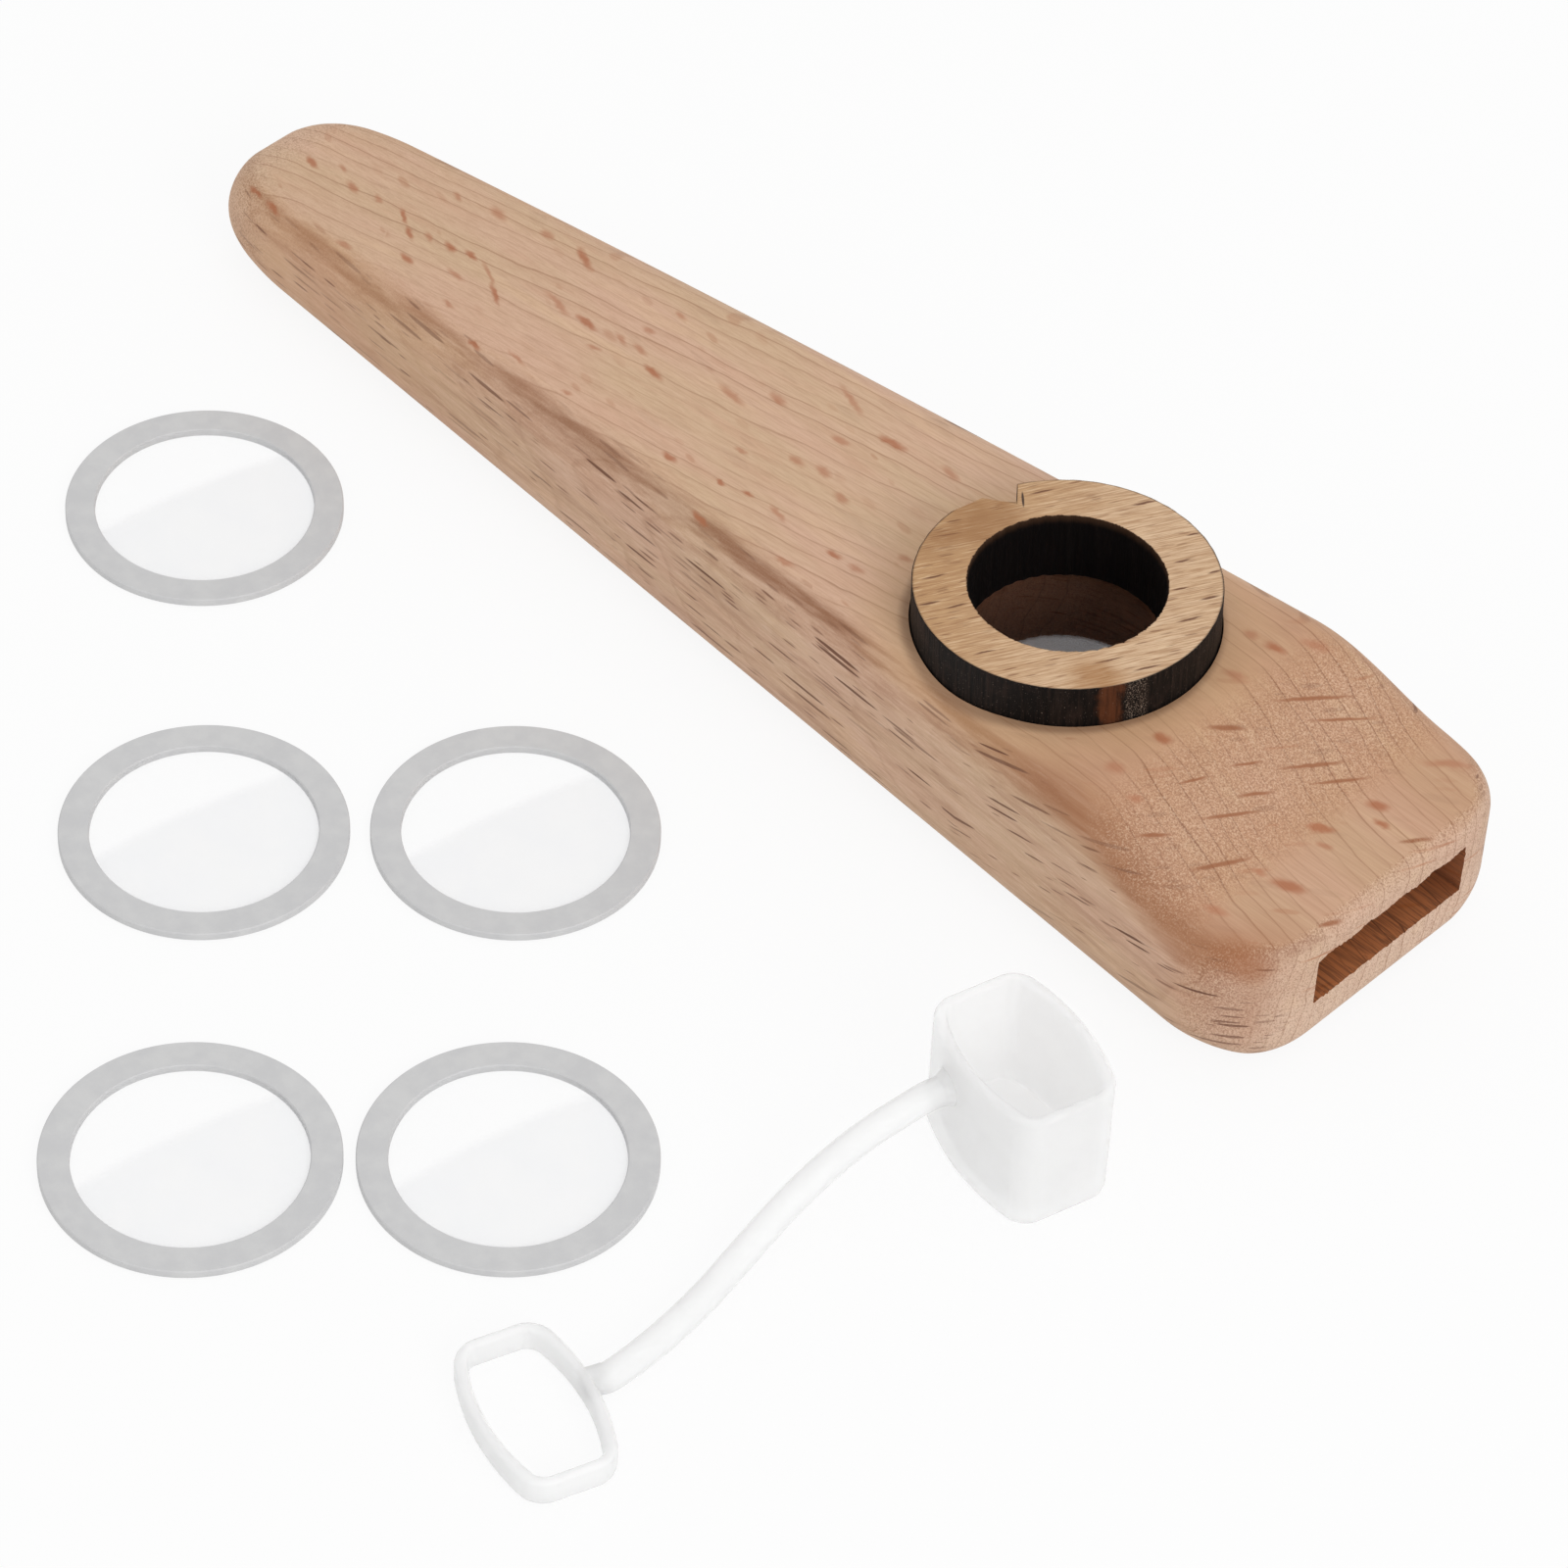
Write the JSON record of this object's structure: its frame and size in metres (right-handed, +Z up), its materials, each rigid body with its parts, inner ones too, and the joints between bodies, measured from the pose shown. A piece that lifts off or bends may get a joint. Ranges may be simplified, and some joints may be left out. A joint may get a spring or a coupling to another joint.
{
  "type": "kazoo",
  "caption": "Flat tapered wooden kazoo with a slotted mouth and a ring holding its membrane, with spare membranes and a tethered silicone tip cap.",
  "frame": {"origin": "on the flat underside of the kazoo, where the axis of the membrane ring meets it", "axes": "+X along the kazoo towards its slotted mouth, +Z up out of the flat underside on which it rests, +Y across it"},
  "size_m": [0.1193, 0.0999, 0.0192],
  "materials": {
    "beech": "sanded pinkish-tan beech, unvarnished, with fine grain lines, orange-brown ray flecks and fuzzy end grain on the scooped slope",
    "laser_cut_ply": "yellowish tan board with laser-cut walls charred almost black",
    "hoop_plastic": "flat light grey plastic with a satin face",
    "clear_film": "thin clear stretched film with a soft gloss",
    "white_silicone": "soft translucent white silicone, satin"
  },
  "bodies": {
    "kazoo": {"body": "beech"},
    "ring": {"membrane_ring": "laser_cut_ply"},
    "fitted_membrane": {"fitted_hoop": "hoop_plastic", "fitted_film": "clear_film"},
    "spare_1": {"spare_hoop_1": "hoop_plastic", "spare_film_1": "clear_film"},
    "spare_2": {"spare_hoop_2": "hoop_plastic", "spare_film_2": "clear_film"},
    "spare_3": {"spare_hoop_3": "hoop_plastic", "spare_film_3": "clear_film"},
    "spare_4": {"spare_hoop_4": "hoop_plastic", "spare_film_4": "clear_film"},
    "spare_5": {"spare_hoop_5": "hoop_plastic", "spare_film_5": "clear_film"},
    "cap_set": {"tip_cap": "white_silicone", "cap_tether": "white_silicone", "cap_loop": "white_silicone"}
  },
  "joints": [
    {"name": "ring_lift", "type": "slide", "parent": "kazoo", "child": "ring", "axis": [-0.0414, 0, 0.9991], "range_m": [0, 0.012]},
    {"name": "fitted_membrane_lift", "type": "slide", "parent": "kazoo", "child": "fitted_membrane", "axis": [-0.0414, 0, 0.9991], "range_m": [0, 0.006]},
    {"name": "spare_1_lift", "type": "slide", "parent": "kazoo", "child": "spare_1", "axis": [0, 0, 1], "range_m": [0, 0.02]},
    {"name": "spare_2_lift", "type": "slide", "parent": "kazoo", "child": "spare_2", "axis": [0, 0, 1], "range_m": [0, 0.02]},
    {"name": "spare_3_lift", "type": "slide", "parent": "kazoo", "child": "spare_3", "axis": [0, 0, 1], "range_m": [0, 0.02]},
    {"name": "spare_4_lift", "type": "slide", "parent": "kazoo", "child": "spare_4", "axis": [0, 0, 1], "range_m": [0, 0.02]},
    {"name": "spare_5_lift", "type": "slide", "parent": "kazoo", "child": "spare_5", "axis": [0, 0, 1], "range_m": [0, 0.02]},
    {"name": "cap_set_lift", "type": "slide", "parent": "kazoo", "child": "cap_set", "axis": [0, 0, 1], "range_m": [0, 0.02]}
  ],
  "couplings": [
    {"joint": "fitted_membrane_lift", "follows": "ring_lift", "ratio": 0.5}
  ]
}
